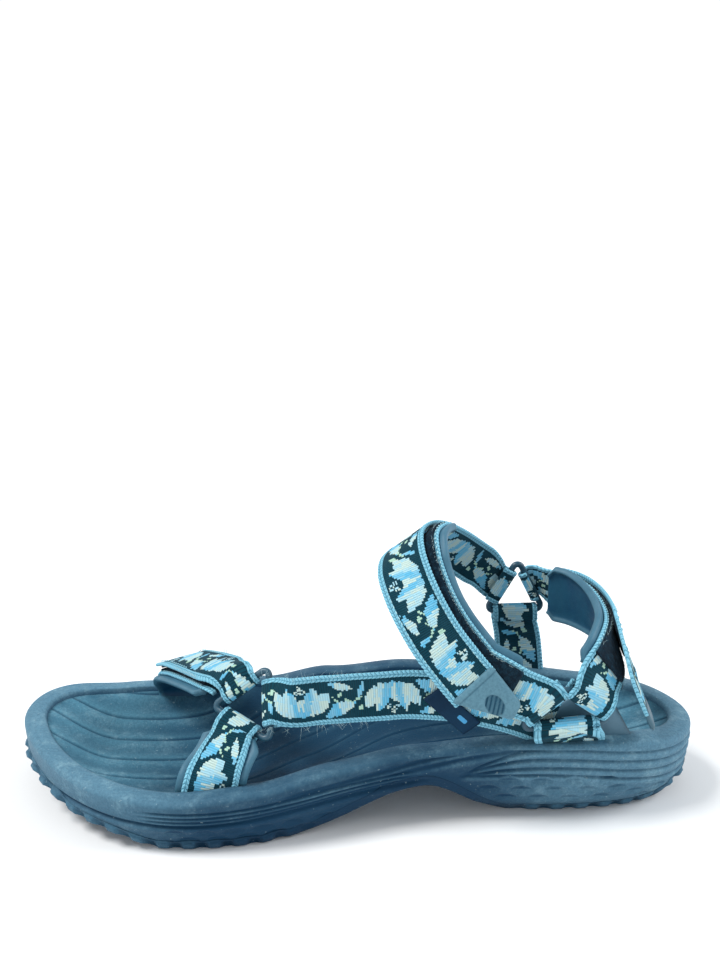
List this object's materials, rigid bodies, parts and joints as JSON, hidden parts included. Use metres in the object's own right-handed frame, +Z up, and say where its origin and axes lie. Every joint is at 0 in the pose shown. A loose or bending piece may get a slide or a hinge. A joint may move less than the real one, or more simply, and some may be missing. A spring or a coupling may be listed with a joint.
{
  "type": "strappy sport sandal",
  "caption": "Left-foot sport sandal: moulded foam sole with webbing straps joined by triangular rings and closed by hook-and-loop flaps at the toe, instep and heel.",
  "frame": {"origin": "centre of the sole's length and width, on the floor under the sandal", "axes": "+X points to the toe, +Y to the outer side of the left foot, +Z up"},
  "size_m": [0.2702, 0.1, 0.1128],
  "materials": {
    "outsole_rubber": "moulded matte tread rubber",
    "midsole_foam": "fine-grained matte foam",
    "footbed_foam": "grooved matte foam",
    "inner_plate": "plain moulded plate",
    "cushion_foam": "soft foam",
    "webbing": "woven jacquard webbing with pale-blue selvedges",
    "lining_foam": "smooth moulded lining",
    "loop_tape": "dark brushed loops",
    "hook_tape": "dark moulded hooks",
    "ring_plastic": "moulded, slightly glossy",
    "tab_rubber": "soft moulded tab",
    "label_cloth": "fine woven label",
    "gusset_lining": "padded smooth lining"
  },
  "bodies": {
    "sandal": {"outsole": "outsole_rubber", "midsole": "midsole_foam", "footbed": "footbed_foam", "arch_shank": "inner_plate", "heel_cushion": "cushion_foam", "toe_strap_outer": "webbing", "toe_strap_inner": "webbing", "side_strap": "webbing", "outer_anchor": "webbing", "inner_anchor": "webbing", "instep_base": "webbing", "instep_strap_inner": "webbing", "heel_base": "webbing", "toe_lining_outer": "lining_foam", "toe_lining_inner": "lining_foam", "instep_lining": "lining_foam", "heel_lining": "lining_foam", "anchor_lining": "gusset_lining", "toe_loop_tape": "loop_tape", "instep_loop_tape": "loop_tape", "heel_loop_tape": "loop_tape", "front_ring": "ring_plastic", "outer_ankle_ring": "ring_plastic", "inner_ankle_ring": "ring_plastic", "woven_label": "label_cloth"},
    "toe_flap": {"toe_flap": "webbing", "toe_hook_tape": "hook_tape"},
    "instep_flap": {"instep_flap": "webbing", "instep_hook_tape": "hook_tape", "instep_tab": "tab_rubber"},
    "heel_flap": {"heel_flap": "webbing", "heel_hook_tape": "hook_tape", "heel_tab": "tab_rubber"}
  },
  "joints": [
    {"name": "toe_flap_peel", "type": "hinge", "parent": "sandal", "child": "toe_flap", "pos_m": [0.0438, 0.01704, 0.05215], "axis": [-0.8236, -0.065, 0.5635], "range_deg": [0, 120]},
    {"name": "instep_flap_peel", "type": "hinge", "parent": "sandal", "child": "instep_flap", "pos_m": [-0.02914, -0.01105, 0.10272], "axis": [0.7403, -0.2542, -0.6224], "range_deg": [0, 90]},
    {"name": "heel_flap_swing", "type": "hinge", "parent": "sandal", "child": "heel_flap", "pos_m": [-0.07651, -0.03379, 0.07089], "axis": [0.4471, -0.0235, 0.8942], "range_deg": [0, 75]}
  ]
}
